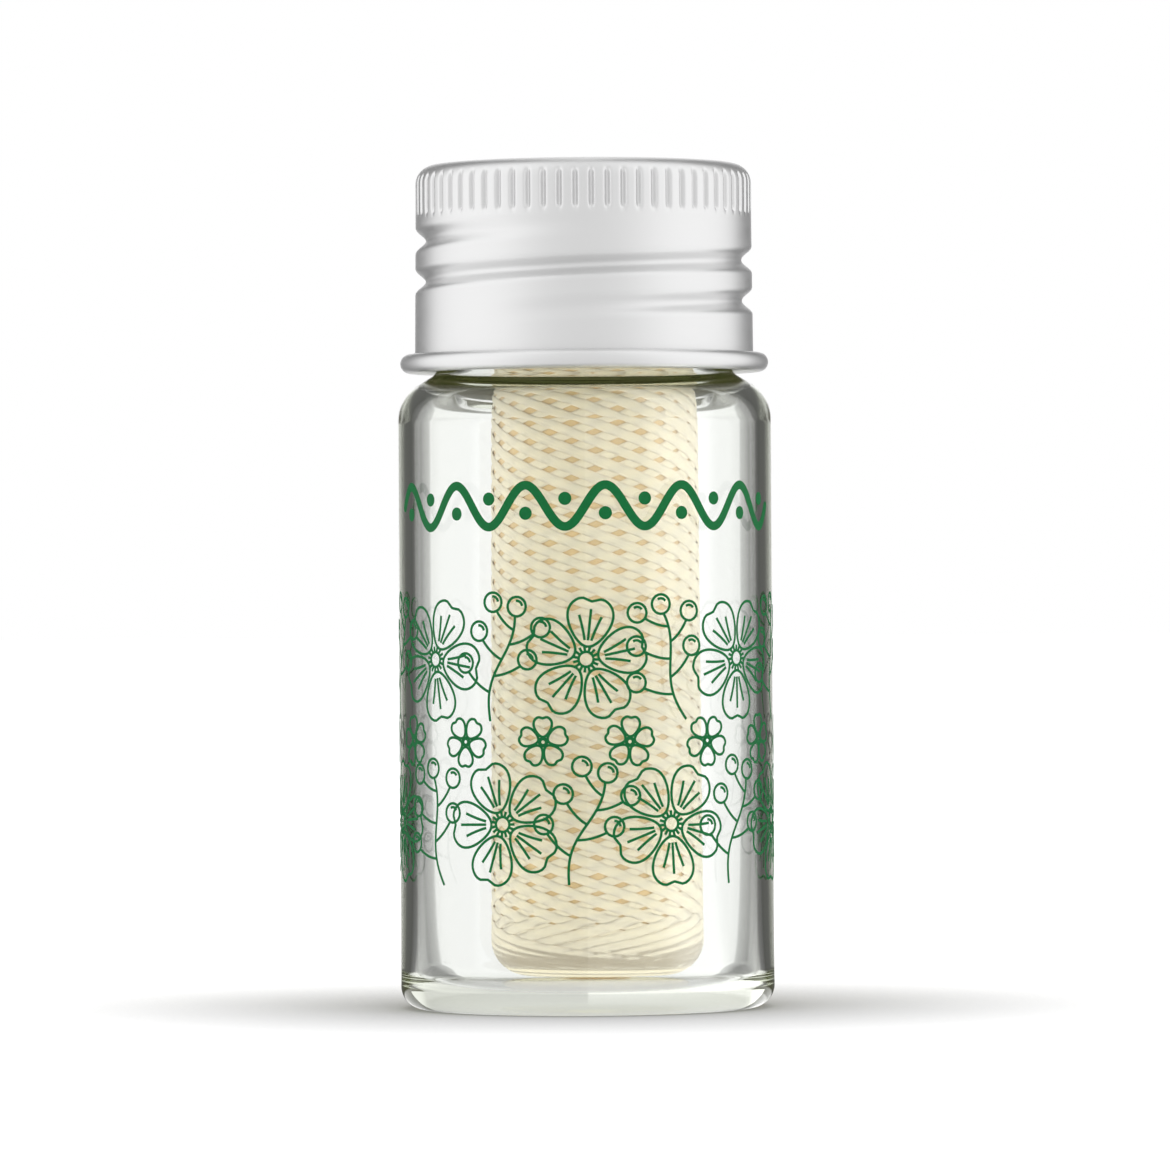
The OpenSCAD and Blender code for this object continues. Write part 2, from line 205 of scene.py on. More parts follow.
def skin(rows, along=None):
    """Points, faces and pattern places of a skin over rings of points, where a ring of one point is a pole.

    along gives each ring's distance along the mesh, for the pattern of its material."""
    starts = np.cumsum([0] + [len(row) for row in rows])
    along = np.zeros(len(rows)) if along is None else along
    faces = []
    places = []
    for i in range(len(rows) - 1):
        n = max(len(rows[i]), len(rows[i + 1]))
        a = np.arange(n)
        b = (a + 1) % n
        low = [starts[i] + a, starts[i] + b] if len(rows[i]) > 1 else [np.full(n, starts[i])]
        high = [starts[i + 1] + b, starts[i + 1] + a] if len(rows[i + 1]) > 1 else [np.full(n, starts[i + 1])]
        faces += np.stack(low + high, axis=1).tolist()
        u = [np.full(n, along[i])] * len(low) + [np.full(n, along[i + 1])] * len(high)
        v = [a / n, (a + 1) / n][:len(low)] + [(a + 1) / n, a / n][-len(high):]
        places.append(np.stack([np.stack(u, axis=1), np.stack(v, axis=1)], axis=2).reshape(-1, 2))
    return np.vstack(rows), faces, np.vstack(places)


def mesh_of(skins, flat=False, aside=0.0):
    """One closed mesh of several skins, with their faces turned outwards, moved aside along X."""
    starts = np.cumsum([0] + [len(points) for points, _, _ in skins])
    faces = [
        [corner + start for corner in face] for (_, some, _), start in zip(skins, starts) for face in some
    ]
    mesh = bpy.data.meshes.new("piece")
    mesh.from_pydata(np.vstack([points for points, _, _ in skins]).tolist(), [], faces)
    places = np.vstack([some for _, _, some in skins]).astype(np.float32)
    mesh.uv_layers.new(name="along").data.foreach_set("uv", places.ravel())
    work = bmesh.new()
    work.from_mesh(mesh)
    bmesh.ops.translate(work, verts=work.verts, vec=(aside, 0, 0))
    bmesh.ops.recalc_face_normals(work, faces=work.faces)
    work.to_mesh(mesh)
    work.free()
    if flat:
        mesh.shade_flat()
    else:
        mesh.shade_smooth()
        mesh.set_sharp_from_angle(angle=math.radians(60))
    return mesh


def add_object(name, data):
    """A new object in the scene, from a mesh, a lamp or a camera."""
    made = bpy.data.objects.new(name, data)
    bpy.context.scene.collection.objects.link(made)
    return made


def piece(name, mesh, material, body, slot, *nodes):
    """A named piece of the object that rides on a body, takes a finish and may replace CAD nodes; slot is not
    used.
    """
    mesh.name = name
    mesh.materials.append(material)
    made = add_object(name, mesh)
    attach(made, body)
    if nodes:
        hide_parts(*nodes)
    return made


def arc(centre, radius, start, end, steps):
    """Points of an arc in the plane of a profile, angles in degrees."""
    angles = np.radians(np.linspace(start, end, steps + 1))
    return [(centre[0] + radius * math.cos(a), centre[1] + radius * math.sin(a)) for a in angles]


def line(start, end, steps):
    """Points between two ends of a straight stretch, without the ends."""
    shares = [i / steps for i in range(1, steps)]
    return [tuple(a + (b - a) * s for a, b in zip(start, end)) for s in shares]


def ring(radius, angles, z):
    radius = np.broadcast_to(radius, angles.shape)
    return np.stack([radius * np.cos(angles), radius * np.sin(angles), np.full(angles.shape, z)], axis=1)


def circle(steps):
    """Angles spread evenly over one turn."""
    return np.arange(steps) * TURN / steps


def lathe(profile, angles, bulge=lambda r, z: 0):
    """Rings of a turned shape, pushed out by a bulge. A profile point on the axis becomes a pole."""
    return [np.array([[0, 0, z]]) if r < 1e-9 else ring(r + bulge(r, z), angles, z) for r, z in profile]


def unit(vectors):
    """Rows of vectors, each made one long."""
    return vectors / np.linalg.norm(vectors, axis=1)[:, None]


def smooth(x):
    x = np.clip(x, 0, 1)
    return x * x * (3 - 2 * x)


# Materials

def node(tree, kind, inputs=None, **own):
    """Adds a node with its own settings and its inputs: values, or outputs that are linked to them.

    A node among the inputs stands for its first output."""
    made = tree.nodes.new("ShaderNode" + kind)
    for key, value in own.items():
        setattr(made, key, value)
    for key, value in (inputs or {}).items():
        if isinstance(value, bpy.types.Node):
            value = value.outputs[0]
        if isinstance(value, bpy.types.NodeSocket):
            tree.links.new(value, made.inputs[key])
        else:
            made.inputs[key].default_value = value
    return made


def maths(tree, operation, *terms):
    return node(tree, "Math", dict(enumerate(terms)), operation=operation)


def map_range(tree, value, start, end, low=0.0, high=1.0, **own):
    """Maps a value in the range from start to end to one in the range from low to high."""
    inputs = {"Value": value, "From Min": start, "From Max": end, "To Min": low, "To Max": high}
    return node(tree, "MapRange", inputs, **own)


def mix_shaders(tree, share, first, second):
    return node(tree, "MixShader", {0: share, 1: first, 2: second})


def shaded(tree, linear, shade):
    """A colour made darker or lighter by a shade."""
    inputs = {"Factor": 1.0, 6: rgba(linear), 7: shade}
    return node(tree, "Mix", inputs, data_type="RGBA", blend_type="MULTIPLY").outputs[2]


def new_material(name):
    """An empty material, its node tree and the place on the object, for patterns."""
    material = bpy.data.materials.new(name)
    material.use_nodes = True
    tree = material.node_tree
    tree.nodes.clear()
    return material, tree, node(tree, "TexCoord").outputs["Object"]


def finished(material, surface):
    """The material, with its shader put in place."""
    node(material.node_tree, "OutputMaterial", {"Surface": surface})
    return material


def rgba(linear):
    return (*linear, 1.0)


def clear_glass():
    """Clear flint glass, fire polished: a bright, sharp gloss, and a yellow-green tint only in depth."""
    jar = settings("jar")
    material, tree, _ = new_material("clear_flint_glass")
    gloss = node(tree, "BsdfPrincipled", {
        "Base Color": rgba(jar.glass), "Roughness": 0.0, "IOR": 1.52, "Transmission Weight": 1.0,
    })
    see_through = node(tree, "BsdfTransparent", {"Color": (0.96, 0.96, 0.96, 1)})
    rays = node(tree, "LightPath").outputs
    # Light that runs on inside the glass comes out at last, where the renderer would stop and draw black
    trapped = node(tree, "Emission", {"Color": rgba(jar.trapped), "Strength": 1.0})
    body = mix_shaders(tree, maths(tree, "GREATER_THAN", rays["Ray Depth"], 5.5), gloss, trapped)
    # Lamps and soft light reach the floss straight through the glass
    lamp_rays = maths(tree, "MAXIMUM", rays["Is Shadow Ray"], rays["Is Diffuse Ray"])
    mixed = mix_shaders(tree, lamp_rays, body, see_through)
    depth = node(tree, "VolumeAbsorption", {"Color": rgba(jar.glass_depth), "Density": 60.0})
    node(tree, "OutputMaterial", {"Surface": mixed, "Volume": depth})
    return material


def satin_aluminium():
    """Aluminium sheet, drawn, rolled and clear lacquered: a soft sheen with faint marks from the rolls."""
    material, tree, place = new_material("satin_aluminium")
    # Roll marks run round the cap, so the pattern is drawn out in Z less than round the axis
    marks_place = node(tree, "Mapping", {"Scale": (1.0, 1.0, 6.0), "Vector": place})
    marks = node(
        tree, "TexNoise", {"Scale": 0.5 / MM, "Detail": 4.0, "Roughness": 0.6, "Vector": marks_place}
    )
    grain = node(tree, "TexNoise", {"Scale": 8 / MM, "Detail": 2.0, "Roughness": 0.5, "Vector": place})
    both = maths(tree, "MULTIPLY_ADD", grain, 0.35, marks)
    return finished(material, node(tree, "BsdfPrincipled", {
        "Base Color": rgba(settings("cap").aluminium), "Metallic": 1.0,
        "Coat Weight": 0.15, "Coat Roughness": 0.2, "Roughness": map_range(tree, marks, 0, 1, 0.36, 0.46),
        "Normal": node(tree, "Bump", {"Strength": 0.12, "Distance": 0.02 * MM, "Height": both}),
    }))


def pressed_steel():
    """Stainless steel sheet, pressed and tumbled: bright, with fine scratches that run every way."""
    material, tree, place = new_material("pressed_steel")
    scratches = node(
        tree, "TexNoise", {"Scale": 3 / MM, "Detail": 5.0, "Distortion": 2.0, "Vector": place}
    )
    return finished(material, node(tree, "BsdfPrincipled", {
        "Base Color": rgba(settings("cap").steel), "Metallic": 1.0,
        "Roughness": map_range(tree, scratches, 0, 1, 0.22, 0.4),
        "Normal": node(tree, "Bump", {"Strength": 0.15, "Distance": 0.02 * MM, "Height": scratches}),
    }))


def foam_wad():
    """Expanded polyethylene foam, skived from a sheet: matt and off-white, with fine closed cells."""
    material, tree, place = new_material("expanded_foam")
    # Cells of about 0.3 mm
    cells = node(tree, "TexVoronoi", {"Scale": 3.3 / MM, "Vector": place}).outputs["Distance"]
    shade = map_range(tree, cells, 0, 0.7, 0.9, 1.0)
    return finished(material, node(tree, "BsdfPrincipled", {
        "Roughness": 0.75, "Base Color": shaded(tree, settings("cap").foam, shade),
        "Normal": node(tree, "Bump", {"Strength": 0.3, "Distance": 0.06 * MM, "Height": cells}),
    }))


def waxed_yarn(name, linear, shine):
    """Multifilament yarn, twisted and waxed: creamy and faintly glossy, with filaments along each strand."""
    material, tree, place = new_material(name)
    along = node(tree, "UVMap", uv_map="along")
    # Filaments are drawn coarser than the real ones, 12 across a strand, and slanted by the twist
    lay = node(tree, "Mapping", {"Scale": (0.12 / MM, 24.0, 1.0), "Vector": along})
    filaments = node(tree, "TexNoise", {"Scale": 1.0, "Detail": 3.0, "Distortion": 0.4, "Vector": lay})
    # The wax lies thicker in some places, over a few millimetres
    wax = node(tree, "TexNoise", {"Scale": 0.35 / MM, "Detail": 2.0, "Vector": place})
    shade = map_range(tree, filaments, 0.25, 0.75, 0.93, 1.02)
    patch = map_range(tree, wax, 0.3, 0.7, 0.97, 1.02)
    return finished(material, node(tree, "BsdfPrincipled", {
        "Roughness": shine, "Sheen Weight": 0.15, "Sheen Roughness": 0.5, "Subsurface Weight": 0.6,
        "Subsurface Radius": (1.0, 0.97, 0.9), "Subsurface Scale": 0.35 * MM,
        "Base Color": shaded(tree, linear, maths(tree, "MULTIPLY", shade, patch)),
        "Normal": node(tree, "Bump", {"Strength": 0.35, "Distance": 0.04 * MM, "Height": filaments}),
    }))


def green_ink():
    """Ceramic screen ink, printed and fired: an opaque green film with a soft gloss and faint pinholes."""
    material, tree, place = new_material("fired_screen_ink")
    film = node(tree, "TexNoise", {"Scale": 4 / MM, "Detail": 3.0, "Vector": place})
    shade = map_range(tree, film, 0.3, 0.7, 0.88, 1.1)
    return finished(material, node(tree, "BsdfPrincipled", {
        "Roughness": 0.5, "Specular IOR Level": 0.15,
        "Base Color": shaded(tree, settings("print").ink, shade),
    }))


# Threads of the neck and the cap, on one helix

def thread_centre(turned):
    """Height of the rolled thread's middle. Angles count from +X, which it passes first at a full turn."""
    cap = settings("cap")
    return cap.thread_low + cap.thread_pitch * (turned - TURN) / TURN


def ridge(angles, z, start, end, fade, width, height, offset=0.0):
    """Height of a helical ridge or groove above its ground, at each angle of one ring."""
    total = np.zeros(angles.shape)
    for lap in range(4):
        turned = angles + lap * TURN
        away = np.abs(z - offset - thread_centre(turned)) / (width / 2)
        fading = smooth((turned - start) / fade) * smooth((end - turned) / fade)
        bump = np.where(away < 1, np.cos(away * math.pi / 2) ** 2, 0) * fading
        total = np.maximum(total, bump * height)
    return total


# Glass jar

def dome(edge, height, rise, steps=20):
    """Profile of a dome as (radius, height), from its top at the axis out to its edge."""
    return [(edge * i / steps, height + rise * (1 - (i / steps) ** 2)) for i in range(steps + 1)]


def shoulder_line(side, top, rounding, slope, throat, fillet, steps):
    """Profile of the shoulder, from the body's side up its rounding and slope to the fillet at the neck."""
    away = 1 - math.sin(slope)
    slope_top = top + (side - rounding * away - throat - fillet * away) * math.tan(slope)
    angle = math.degrees(slope)
    points = arc((side - rounding, top - rounding * math.cos(slope)), rounding, 0, 90 - angle, steps)
    return points + arc(
        (throat + fillet, slope_top + fillet * math.cos(slope)), fillet, 270 - angle, 180, steps // 2
    )


def jar_profile(jar):
    """Outlines of the jar as (radius, height): outside from the foot up, and inside from the rim down."""
    radius, rim = JAR_HIGH.x, JAR_HIGH.z
    neck = radius - jar.neck_step
    bore = neck - jar.neck_wall
    inner = radius - jar.wall
    body_top = rim - jar.neck_height
    floor = jar.push_up + jar.base_wall
    hollow = radius - jar.heel - jar.foot
    outside = dome(hollow, 0, jar.push_up)
    outside += arc((radius - jar.heel, jar.heel), jar.heel, -90, 0, 14)
    outside += shoulder_line(radius, body_top, jar.shoulder, jar.shoulder_slope, neck, jar.neck_fillet, 24)
    neck_low, neck_high = outside[-1], (neck, rim - jar.lip)
    outside += line(neck_low, neck_high, 96)
    outside += arc((neck - jar.lip, rim - jar.lip), jar.lip, 0, 90, 8)
    inside = arc((bore + jar.lip, rim - jar.lip), jar.lip, 90, 180, 8)
    inside += shoulder_line(
        inner, body_top - jar.shoulder_drop, jar.shoulder_inside, jar.inside_slope, bore, jar.throat, 24
    )[::-1]
    corner = jar.inside_radius
    inside += arc((inner - corner, jar.heel_wall + corner), corner, 0, -90, 12)
    return outside, inside + dome(inner - corner, jar.heel_wall, floor - jar.heel_wall)[-2::-1]


class FLOSS_OT_jar(bpy.types.Operator):
    """Build the glass jar, with the moulded thread on its neck"""

    bl_idname = "floss.jar"
    bl_label = "Glass jar"

    def execute(self, context):
        jar = settings("jar")
        outside, inside = jar_profile(jar)
        neck = JAR_HIGH.x - jar.neck_step
        angles = circle(256)
        start, fade = math.radians(275), math.radians(40)
        end = start + jar.bead_turns * TURN
        # The bead lies midway between the turns of the cap's rolled thread
        offset = settings("cap").thread_pitch / 2

        def bead(r, z):
            if abs(r - neck) >= 1e-7:
                return 0
            return ridge(angles, z, start, end, fade, jar.bead_width, jar.bead, offset)

        rows = lathe(outside, angles, bead) + lathe(inside, angles)
        piece("jar_glass", mesh_of([skin(rows)]), clear_glass(), "jar", "glass", "glass_jar")
        return {"FINISHED"}


# Aluminium cap

def cap_profile(cap):
    """Outlines of the cap's outside and inside as (radius, height), and the height where the knurl ends."""
    top = CAP_HIGH.z
    hem_z = CAP_LOW.z + cap.hem
    skirt = cap.radius + cap.flare
    hollow = cap.hem - cap.sheet
    centre = (cap.radius - cap.edge, top - cap.edge)
    curl = (skirt + hollow, hem_z)
    curl_end = 360 + math.degrees(math.acos((cap.slit - hollow) / cap.hem))
    knurl_low = top - cap.knurl_drop - cap.knurl_height
    outside = line((0, top), (centre[0], top), 8)
    outside += arc(centre, cap.edge, 90, 0, 16)
    outside += line((cap.radius, centre[1]), (cap.radius, knurl_low - cap.flute), 14)
    outside += line((cap.radius, knurl_low - cap.flute), (skirt, hem_z), 72)
    outside += arc(curl, hollow, 180, curl_end, 14)
    inside = arc(curl, cap.hem, curl_end, 180, 26)
    inner = cap.radius - cap.sheet
    inside += line((skirt - cap.sheet, hem_z), (inner, knurl_low - cap.flute), 44)
    inside += line((inner, knurl_low - cap.flute), (inner, centre[1]), 10)
    inside += arc(centre, cap.edge - cap.sheet, 0, 90, 10)
    inside += line((centre[0], top - cap.sheet), (0, top - cap.sheet), 8)
    return outside, inside, knurl_low


def flute_angles(cap):
    """Angles round the cap, closer together where each flute lies."""
    period = TURN / cap.flutes
    within = np.array([-0.5, -0.36, -0.25, -0.19, -0.125, -0.06, 0, 0.06, 0.125, 0.19, 0.25, 0.36]) * period
    return (np.arange(cap.flutes)[:, None] * period + within[None, :]).ravel()


def flute_cut(cap, angles, z, knurl_low):
    """Depth of the flutes on one ring: narrow hollows with sloping sides and rounded ends."""
    period = TURN / cap.flutes
    across = np.abs((angles + period / 2) % period - period / 2) / (0.25 * period)
    section = np.cos(np.clip(across, 0, 1) * math.pi / 2) ** 2
    high = CAP_HIGH.z - cap.knurl_drop
    ends = smooth((z - knurl_low + 0.1 * MM) / (0.35 * MM)) * smooth((high + 0.15 * MM - z) / (0.5 * MM))
    return cap.flute * section * ends


class FLOSS_OT_cap(bpy.types.Operator):
    """Build the aluminium cap, with its knurl, rolled thread and curled hem, and its foam liner"""

    bl_idname = "floss.cap"
    bl_label = "Screw cap"

    def execute(self, context):
        cap = settings("cap")
        outside, inside, knurl_low = cap_profile(cap)
        angles = flute_angles(cap)
        hem_z = CAP_LOW.z + cap.hem

        def pressed(r, z):
            if hem_z + cap.hem < z < knurl_low and abs(r - cap.radius) < 2 * cap.sheet:
                return -ridge(
                    angles, z, cap.thread_from, cap.thread_to, cap.thread_fade,
                    cap.thread_width, cap.thread_depth
                )
            return -flute_cut(cap, angles, z, knurl_low) if r > cap.radius - cap.edge * 0.5 else 0

        profile = [(0, CAP_HIGH.z)] + outside + inside + [(0, CAP_HIGH.z - cap.sheet)]
        rows = lathe(profile, angles, pressed)
        piece("cap_rolled_shell", mesh_of([skin(rows)]), satin_aluminium(), "cap", "aluminium", "cap_shell")
        self.liner(cap)
        return {"FINISHED"}

    def liner(self, cap):
        """Foam disc with soft edges and the ring that the insert's flange has pressed into it."""
        radius, low, high = LINER_HIGH.x, LINER_LOW.z, LINER_HIGH.z
        soft, swell = 0.18 * MM, 0.05 * MM
        flange = INSERT_HIGH.x
        steps = 60
        face = []
        for i in range(steps + 1):
            r = (radius - soft) * i / steps
            inner = smooth((r - flange + 2.1 * MM) / (0.4 * MM))
            outer = smooth((flange + 0.15 * MM - r) / (0.3 * MM))
            face.append((r, low - swell * (1 - inner * outer)))
        profile = face + arc((radius - soft, low - swell + soft), soft, -90, 0, 6)[1:]
        profile += arc((radius - soft, high - soft), soft, 0, 90, 6) + [(0, high)]
        mesh = mesh_of([skin(lathe(profile, circle(128)))])
        made = piece("liner_foam", mesh, foam_wad(), "liner", "foam", "cap_liner")


# Steel insert

class FLOSS_OT_insert(bpy.types.Operator):
    """Finish the pressed steel insert, whose shape comes from the frame"""

    bl_idname = "floss.insert"
    bl_label = "Steel insert"

    def execute(self, context):
        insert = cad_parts["dispenser_insert"]
        insert.data.materials.clear()
        insert.data.materials.append(pressed_steel())
        return {"FINISHED"}


# Floss package

def package_outline(floss, z):
    """Radius of the package at a height, and the way that its outline faces there, as (radial, upward)."""
    low, high = CORE_LOW.z, CORE_HIGH.z
    side = PACK_R - floss.taper * (z - low) / (high - low)
    if z < low + floss.low_radius:
        rounding, drop = floss.low_radius, z - low - floss.low_radius
    elif z > high - floss.high_radius:
        rounding, drop = floss.high_radius, z - high + floss.high_radius
    else:
        return side, (1.0, 0.0)
    reach = math.sqrt(max(rounding ** 2 - drop ** 2, 0))
    return side - rounding + reach, (reach / rounding, drop / rounding)


def travel(steps=400):
    """Share of the package's height that a strand has risen, over one traverse: slower near both ends."""
    s = np.linspace(0, 1, steps + 1)
    speed = smooth((s + 0.03) / 0.3) * smooth((1.03 - s) / 0.2)
    risen = np.concatenate([[0], np.cumsum((speed[1:] + speed[:-1]) / 2)])
    return s, risen / risen[-1]


def on_top(going_up, lap, row, starts, mixed_rows):
    """True if the strand of this lap lies over the one that it crosses in a row.

    The strand that comes down lies on top, but in the lowest rows it is the later wound of the two."""
    if row > mixed_rows:
        return not going_up
    if going_up:
        return lap > (lap + row - 1) % starts
    return lap >= (lap + 1 - row) % starts


def strand(points, outward, width, thickness, sides=10, edge=1.2):
    """Skin of a strand along points, lying flat to outward, and thin at its edges if edge is over 1."""
    width = np.broadcast_to(width, len(points))
    along = unit(np.gradient(points, axis=0))
    outward = unit(outward - along * np.sum(along * outward, axis=1)[:, None])
    across = np.cross(along, outward)
    turned = circle(sides)
    wide, high = (np.sign(w) * np.abs(w) ** p for w, p in ((np.cos(turned), 0.8), (np.sin(turned), edge)))
    body = (
        points[:, None, :]
        + across[:, None, :] * (wide[None, :, None] * width[:, None, None] / 2)
        + outward[:, None, :] * (high[None, :, None] * thickness / 2)
    )
    return skin([points[:1], *body, points[-1:]], lengths_along(points))


def lengths_along(points):
    """Distance along points, with one more value at each end for the poles of a strand's ends."""
    steps = np.linalg.norm(np.diff(points, axis=0), axis=1)
    run = np.concatenate([[0], np.cumsum(steps)])
    return np.concatenate([run[:1], run, run[-1:]])


def cross_winding(floss):
    """One strand that runs up and down the package, each time further round, over itself and under."""
    low, high = CORE_LOW.z + floss.low_turn, CORE_HIGH.z - floss.high_turn
    starts = floss.starts
    # A full trip up and down turns the package whole turns and one share of the strands' spacing
    trip_turns = 6 + 1 / starts
    rows_per_traverse = trip_turns * starts
    mixed_rows = 0.22 * rows_per_traverse
    steps = 200
    share, risen = travel()
    points, outward, widths = [], [], []
    for lap in range(starts):
        for going_up in (True, False):
            for i in range(steps):
                s = i / steps if going_up else 1 - i / steps
                turned = TURN * trip_turns * (lap + (i / steps + (not going_up)) / 2)
                z = low + (high - low) * float(np.interp(s, share, risen))
                row = s * rows_per_traverse
                here, there = int(row), int(row) + 1
                sunk = [not on_top(going_up, lap, r, starts, mixed_rows) for r in (here, there)]
                sink = sunk[0] + (sunk[1] - sunk[0]) * float(smooth(row - here))
                wander = 0.1 + 0.25 * max(0.0, 1 - s * 2.2)
                seed = Vector((lap * 3.7 + going_up * 51.3, s * 9, 0.5))
                stray = noise.noise(seed) * wander * MM
                radius, (out_r, out_z) = package_outline(floss, z)
                inset = floss.strand_thickness * (0.5 + 0.55 * sink)
                turned += stray / radius
                around = Vector((math.cos(turned), math.sin(turned), 0))
                r = radius - inset * out_r
                points.append((r * around.x, r * around.y, z - inset * out_z))
                outward.append((around.x * out_r, around.y * out_r, out_z))
                # Pressed wider on one side, so that the gaps close there
                pressed = 0.3 * float(smooth((math.cos(turned) - 0.6) / 0.3))
                uneven = 0.2 * noise.noise(seed + Vector((0, 0, 40)))
                widths.append(floss.strand_width * (1 + pressed + uneven))
    return strand(np.array(points), np.array(outward), widths, floss.strand_thickness)


def end_coil(floss, up):
    """Loops that lie side by side over one end of the package, from its rounding in to the bore."""
    face = CORE_HIGH.z if up else CORE_LOW.z
    rounding = floss.high_radius if up else floss.low_radius
    side = package_outline(floss, face)[0]
    # The loops begin on the rounding, where the winding turns back, and then lie flat on the end
    first_slope, bend = math.radians(32), math.radians(58)
    arc_length = rounding * bend
    flat = side - floss.bore / 2 - floss.strand_width / 2
    turns = (arc_length + flat) / floss.coil_spacing
    steps = int(turns * 60)
    points, outward = [], []
    for i in range(steps + 1):
        run = (arc_length + flat) * i / steps
        turned = TURN * turns * i / steps
        slope = min(run, arc_length) / rounding + first_slope
        if run > arc_length:
            slope = math.pi / 2
        out_r, out_z = math.cos(slope), math.sin(slope) * (1 if up else -1)
        radius = side + rounding * out_r - max(run - arc_length, 0)
        z = face + (-rounding if up else rounding) + rounding * out_z
        inset = floss.strand_thickness * 0.7
        around = (math.cos(turned), math.sin(turned))
        r = radius - inset * out_r
        points.append((r * around[0], r * around[1], z - inset * out_z))
        outward.append((around[0] * out_r, around[1] * out_r, out_z))
    return strand(np.array(points), np.array(outward), floss.strand_width, floss.strand_thickness)


def inner_layers(floss):
    """The layers under the outer winding, with the hole along the package."""
    inset = floss.inner_inset
    low, high = CORE_LOW.z, CORE_HIGH.z
    bore = floss.bore / 2
    outline = [(bore, low + inset)]
    for z in np.linspace(low + 0.02 * MM, high - 0.02 * MM, 120):
        radius, (out_r, out_z) = package_outline(floss, z)
        outline.append((radius - inset * out_r, z - inset * out_z))
    outline.append((bore, high - inset))
    rings = lathe(outline, circle(128))
    return skin(rings + rings[:1], np.linspace(0, high - low, len(rings) + 1))


def spline(points, steps):
    """Smooth curve through points."""
    points = [Vector(p) for p in points]
    ends = [points[0] * 2 - points[1], *points, points[-1] * 2 - points[-2]]
    curve = []
    for a, b, c, d in zip(ends, ends[1:], ends[2:], ends[3:]):
        for i in range(steps):
            t = i / steps
            square, cube = a * 2 - b * 5 + c * 4 - d, b * 3 - a - c * 3 + d
            curve.append((b * 2 + (c - a) * t + square * t ** 2 + cube * t ** 3) / 2)
    return np.array([*curve, points[-1]])


def free_end(floss):
    """The floss's free end, out of the package's hole, through the insert and over the cutter: two plies."""
    pack_top, deck = CORE_HIGH.z, INSERT_LOW.z + floss.insert_sheet
    spread = (1 + 2 * PACK_X / floss.bore) * MM
    in_hole = ((2.3, -5.6), (1.7, -5.6), (1, -5.3), (0.4, -4.6), (0.1, -3.6))
    route = [(x * spread, 0, pack_top + z * MM) for x, z in in_hole]
    low, high = pack_top - 2.4 * MM, deck - 0.3 * MM
    route += [(0, 0, low + (high - low) * i / 6) for i in range(7)]
    route += [(x * MM, 0, deck + z * MM) for x, z in ((0.1, 0.6), (0.5, 1.3), (1.2, 1.7))]
    route += [
        (floss.cutter_tip + x * MM, 0, deck + z * MM)
        for x, z in ((-1.7, 1.8), (-0.7, 1.8), (0.2, 1.8), (1.1, 2.2), (1.9, 2.7))
    ]
    points = spline(route, 10)
    run = lengths_along(points)[1:-1]
    skins = []
    radius = floss.tail / 2
    along = unit(np.gradient(points, axis=0))
    side = np.array([0.0, 1.0, 0.0]) + np.zeros(points.shape)
    other = np.cross(along, side)
    for ply in (0, math.pi):
        turned = (run / floss.ply_pitch * TURN + ply)[:, None]
        outward = side * np.cos(turned) + other * np.sin(turned)
        middle = points + outward * radius * 0.46
        skins.append(strand(middle, outward, radius * 1.2, radius * 1.08, 8, 0.8))
    return skins


class FLOSS_OT_package(bpy.types.Operator):
    """Build the cross-wound package of floss and its free end"""

    bl_idname = "floss.package"
    bl_label = "Floss package"

    def execute(self, context):
        floss = settings("package")
        outer = waxed_yarn("waxed_floss", floss.yarn, 0.5)
        # The layers below take a darker copy of the yarn: painted shade in the gaps between the strands
        inner = waxed_yarn("waxed_floss_inner_layers_painted_shade", floss.inner_yarn_painted_shade, 0.6)
        winding = [cross_winding(floss), end_coil(floss, False), end_coil(floss, True)]
        piece("package_winding", mesh_of(winding, aside=PACK_X), outer, "package", "floss", "floss_winding")
        layers = mesh_of([inner_layers(floss)], aside=PACK_X)
        piece("package_inner_layers", layers, inner, "package", "floss", "floss_core")
        piece("floss_free_end", mesh_of(free_end(floss)), outer, "jar", "floss", "floss_tail")
        return {"FINISHED"}


# Print on the glass

def on_glass(s, z, out):
    """Point of the jar's side, s round to the right of the front, z up and out beyond the glass."""
    angle = s / JAR_HIGH.x
    r = JAR_HIGH.x + out
    return (r * math.sin(angle), -r * math.cos(angle), z)


def stroke(points, width, film):
    """A line of ink along points (s, z), as a thin closed strip on the glass."""
    points = np.array(points)
    along = unit(np.gradient(points, axis=0))
    side = np.stack([-along[:, 1], along[:, 0]], axis=1) * width / 2
    rows = [
        np.array([on_glass(*(p + way * n), out) for way, out in ((1, 0), (-1, 0), (-1, film), (1, film))])
        for p, n in zip(points, side)
    ]
    return skin([rows[0].mean(axis=0)[None, :]] + rows + [rows[-1].mean(axis=0)[None, :]])


def dot(s, z, radius, film, steps=20):
    """A filled dot of ink."""
    rim = [(s + radius * math.cos(a), z + radius * math.sin(a)) for a in circle(steps)]
    rows = [np.array([on_glass(*p, out) for p in rim]) for out in (0, film)]
    return skin([np.array([on_glass(s, z, 0)])] + rows + [np.array([on_glass(s, z, film)])])


def turned_by(points, angle, s, z):
    """Points turned and moved to a place."""
    c, n = math.cos(angle), math.sin(angle)
    return [(s + x * c - y * n, z + x * n + y * c) for x, y in points]


def loop(radius_x, radius_y=None, steps=24):
    angles = np.linspace(0, TURN, steps + 1)
    return [(radius_x * math.cos(a), (radius_y or radius_x) * math.sin(a)) for a in angles]


